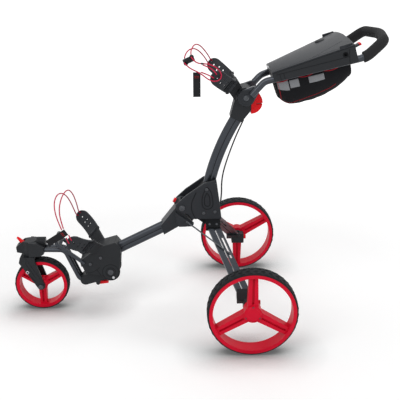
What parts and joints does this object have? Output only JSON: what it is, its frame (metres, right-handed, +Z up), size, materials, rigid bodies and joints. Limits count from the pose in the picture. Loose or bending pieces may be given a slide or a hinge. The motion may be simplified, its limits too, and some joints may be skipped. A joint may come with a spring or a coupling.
{
  "type": "folding golf push cart",
  "caption": "Folding golf push cart on large rear wheels and a swivelling front wheel, with a bowed frame tube, bag cradles with elastic cords, and a looped handle with a lidded console and net",
  "frame": {"origin": "on the ground, under the middle of the cart's box", "axes": "+Z up, front wheel towards -X, push handle towards +X, the cart's left at -Y"},
  "size_m": [1.2511, 0.696, 0.984],
  "materials": {
    "graphite_tube": "satin graphite coated aluminium tube",
    "black_plastic": "textured black moulded nylon",
    "red_plastic": "bright red moulded plastic",
    "tyre_rubber": "dark solid foam tyre with a moulded tread",
    "steel": "plated steel pins, rods and screws",
    "foam": "closed-cell foam",
    "net_fabric": "black mesh with red piping",
    "red_cord": "braided red elastic cord",
    "webbing": "black woven webbing",
    "cable_sheath": "smooth black cable sheath"
  },
  "bodies": {
    "main_frame": {"upper_tube": "graphite_tube", "hub_core": "black_plastic", "hub_shell_left": "black_plastic", "hub_shell_right": "black_plastic", "frame_bolts": "steel", "upper_collar": "black_plastic", "brake_cable": "cable_sheath", "cord_buckle": "black_plastic", "upper_cord_a": "red_cord", "upper_cord_b": "red_cord", "upper_cord_loop": "red_cord", "upper_cord_ties": "red_cord", "upper_pull_strap": "webbing"},
    "front_frame": {"front_tube": "graphite_tube", "front_knuckle": "black_plastic", "lower_bracket": "black_plastic", "bag_rest": "black_plastic", "bracket_bolts": "steel", "lower_cord_a": "red_cord", "lower_cord_b": "red_cord", "lower_cord_ties": "red_cord", "lower_pull_tab": "webbing"},
    "front_arm": {"arm_tubes": "graphite_tube", "arm_knuckle": "black_plastic", "caster_head": "black_plastic"},
    "tracking_knob": {"tracking_knob": "black_plastic"},
    "caster_lock": {"caster_lock_lever": "black_plastic"},
    "front_fork": {"front_fork": "black_plastic", "fork_pins": "steel"},
    "front_wheel": {"front_rim": "red_plastic", "front_tyre": "tyre_rubber"},
    "arm_pedal": {"arm_pedal": "red_plastic"},
    "fold_button": {"fold_button": "red_plastic"},
    "handle": {"handle_tube": "graphite_tube", "handle_grip": "foam", "console_tray": "black_plastic", "storage_net": "net_fabric"},
    "console_lid": {"console_lid": "black_plastic"},
    "brake_lever": {"brake_lever": "black_plastic"},
    "clamp_lever": {"clamp_lever": "red_plastic"},
    "leg_front_left": {"leg_bar_front_left": "graphite_tube"},
    "leg_rear_left": {"leg_bar_rear_left": "graphite_tube"},
    "carrier_left": {"wheel_carrier_left": "black_plastic"},
    "wheel_release_left": {"wheel_release_left": "red_plastic"},
    "rear_wheel_left": {"rear_rim_left": "red_plastic", "rear_tyre_left": "tyre_rubber", "rear_axle_left": "steel"},
    "rod_left": {"spreader_rod_left": "steel"},
    "leg_front_right": {"leg_bar_front_right": "graphite_tube"},
    "leg_rear_right": {"leg_bar_rear_right": "graphite_tube"},
    "carrier_right": {"wheel_carrier_right": "black_plastic"},
    "wheel_release_right": {"wheel_release_right": "red_plastic"},
    "rear_wheel_right": {"rear_rim_right": "red_plastic", "rear_tyre_right": "tyre_rubber", "rear_axle_right": "steel"},
    "rod_right": {"spreader_rod_right": "steel"},
    "wing_upper_left": {"upper_wing_left": "black_plastic"},
    "wing_upper_right": {"upper_wing_right": "black_plastic"},
    "wing_lower_left": {"lower_wing_left": "black_plastic"},
    "wing_lower_right": {"lower_wing_right": "black_plastic"}
  },
  "joints": [
    {"name": "frame_fold", "type": "hinge", "parent": "main_frame", "child": "front_frame", "pos_m": [-0.029, 0, 0.391], "axis": [0, 1, 0], "range_deg": [0, 100]},
    {"name": "leg_front_left_fold", "type": "hinge", "parent": "main_frame", "child": "leg_front_left", "pos_m": [0.065, -0.05, 0.328], "axis": [0, -0.618, 0.7862], "range_deg": [-47, 0]},
    {"name": "leg_rear_left_fold", "type": "hinge", "parent": "main_frame", "child": "leg_rear_left", "pos_m": [0.089, -0.05, 0.328], "axis": [0, -0.618, 0.7862], "range_deg": [-47, 0]},
    {"name": "carrier_left_turn", "type": "hinge", "parent": "leg_rear_left", "child": "carrier_left", "pos_m": [0.1817, -0.25, 0.1708], "axis": [0, -0.618, 0.7862], "range_deg": [0, 47]},
    {"name": "wheel_release_left_push", "type": "slide", "parent": "carrier_left", "child": "wheel_release_left", "axis": [-1, 0, 0], "range_m": [0, 0.004], "stiffness_N_per_m": 600},
    {"name": "rear_wheel_left_spin", "type": "hinge", "parent": "carrier_left", "child": "rear_wheel_left", "pos_m": [0.191, -0.323, 0.145], "axis": [0, 1, 0], "continuous": true},
    {"name": "rod_left_swing", "type": "hinge", "parent": "leg_rear_left", "child": "rod_left", "pos_m": [0.13009, -0.1442, 0.2654], "axis": [-0.6733, -0.0335, 0.7386], "range_deg": [0, 65.7]},
    {"name": "leg_front_right_fold", "type": "hinge", "parent": "main_frame", "child": "leg_front_right", "pos_m": [0.065, 0.05, 0.328], "axis": [0, 0.618, 0.7862], "range_deg": [0, 47]},
    {"name": "leg_rear_right_fold", "type": "hinge", "parent": "main_frame", "child": "leg_rear_right", "pos_m": [0.089, 0.05, 0.328], "axis": [0, 0.618, 0.7862], "range_deg": [0, 47]},
    {"name": "carrier_right_turn", "type": "hinge", "parent": "leg_rear_right", "child": "carrier_right", "pos_m": [0.1817, 0.25, 0.1708], "axis": [0, 0.618, 0.7862], "range_deg": [-47, 0]},
    {"name": "wheel_release_right_push", "type": "slide", "parent": "carrier_right", "child": "wheel_release_right", "axis": [-1, 0, 0], "range_m": [0, 0.004], "stiffness_N_per_m": 600},
    {"name": "rear_wheel_right_spin", "type": "hinge", "parent": "carrier_right", "child": "rear_wheel_right", "pos_m": [0.191, 0.323, 0.145], "axis": [0, 1, 0], "continuous": true},
    {"name": "rod_right_swing", "type": "hinge", "parent": "leg_rear_right", "child": "rod_right", "pos_m": [0.13009, 0.1442, 0.2654], "axis": [-0.6733, 0.0335, 0.7386], "range_deg": [-65.7, 0]},
    {"name": "front_arm_fold", "type": "hinge", "parent": "front_frame", "child": "front_arm", "pos_m": [-0.282, 0, 0.15], "axis": [0, -1, 0], "range_deg": [0, 130]},
    {"name": "caster_swivel", "type": "hinge", "parent": "front_arm", "child": "front_fork", "pos_m": [-0.564, 0, 0.2], "axis": [0, 0, 1], "continuous": true},
    {"name": "front_wheel_spin", "type": "hinge", "parent": "front_fork", "child": "front_wheel", "pos_m": [-0.53, 0, 0.096], "axis": [0, 1, 0], "continuous": true},
    {"name": "tracking_knob_turn", "type": "hinge", "parent": "front_arm", "child": "tracking_knob", "pos_m": [-0.523, 0, 0.257], "axis": [1, 0, 0], "range_deg": [-180, 180]},
    {"name": "caster_lock_lift", "type": "hinge", "parent": "front_arm", "child": "caster_lock", "pos_m": [-0.588, 0, 0.255], "axis": [0, 1, 0], "range_deg": [0, 40]},
    {"name": "arm_pedal_press", "type": "hinge", "parent": "front_arm", "child": "arm_pedal", "pos_m": [-0.33, 0, 0.101], "axis": [0, 1, 0], "range_deg": [0, 12], "stiffness_Nm_per_rad": 0.6},
    {"name": "fold_button_push", "type": "slide", "parent": "front_frame", "child": "fold_button", "axis": [0.866, 0, -0.5], "range_m": [0, 0.004], "stiffness_N_per_m": 600},
    {"name": "handle_fold", "type": "hinge", "parent": "main_frame", "child": "handle", "pos_m": [0.181, 0, 0.772], "axis": [0, -1, 0], "range_deg": [-20, 60]},
    {"name": "console_lid_open", "type": "hinge", "parent": "handle", "child": "console_lid", "pos_m": [0.25888, 0, 0.85357], "axis": [0, 1, 0], "range_deg": [-95, 0]},
    {"name": "brake_lever_pull", "type": "hinge", "parent": "handle", "child": "brake_lever", "pos_m": [0.51887, 0, 0.91976], "axis": [0, -1, 0], "range_deg": [0, 20]},
    {"name": "clamp_lever_open", "type": "hinge", "parent": "main_frame", "child": "clamp_lever", "pos_m": [0.207, 0, 0.779], "axis": [0, -1, 0], "range_deg": [0, 50]},
    {"name": "wing_upper_left_turn", "type": "hinge", "parent": "main_frame", "child": "wing_upper_left", "pos_m": [0.131, -0.078, 0.812], "axis": [-0.6252, 0, -0.7804], "range_deg": [-15, 10], "deforming": ["upper_cord_loop", "upper_cord_ties"]},
    {"name": "wing_upper_right_turn", "type": "hinge", "parent": "main_frame", "child": "wing_upper_right", "pos_m": [0.131, 0.078, 0.812], "axis": [0.6252, 0, 0.7804], "range_deg": [-15, 10], "deforming": ["upper_cord_a", "upper_cord_b"]},
    {"name": "wing_lower_left_turn", "type": "hinge", "parent": "front_frame", "child": "wing_lower_left", "pos_m": [-0.346, -0.062, 0.263], "axis": [-0.6252, 0, -0.7804], "range_deg": [-15, 10], "deforming": ["lower_cord_ties"]},
    {"name": "wing_lower_right_turn", "type": "hinge", "parent": "front_frame", "child": "wing_lower_right", "pos_m": [-0.346, 0.062, 0.263], "axis": [0.6252, 0, 0.7804], "range_deg": [-15, 10], "deforming": ["lower_cord_a", "lower_cord_b"]}
  ],
  "couplings": [
    {"joint": "leg_front_left_fold", "follows": "frame_fold", "ratio": -0.47},
    {"joint": "leg_rear_left_fold", "follows": "frame_fold", "ratio": -0.47},
    {"joint": "carrier_left_turn", "follows": "frame_fold", "ratio": 0.47},
    {"joint": "rod_left_swing", "follows": "frame_fold", "ratio": 0.657},
    {"joint": "leg_front_right_fold", "follows": "frame_fold", "ratio": 0.47},
    {"joint": "leg_rear_right_fold", "follows": "frame_fold", "ratio": 0.47},
    {"joint": "carrier_right_turn", "follows": "frame_fold", "ratio": -0.47},
    {"joint": "rod_right_swing", "follows": "frame_fold", "ratio": -0.657}
  ]
}
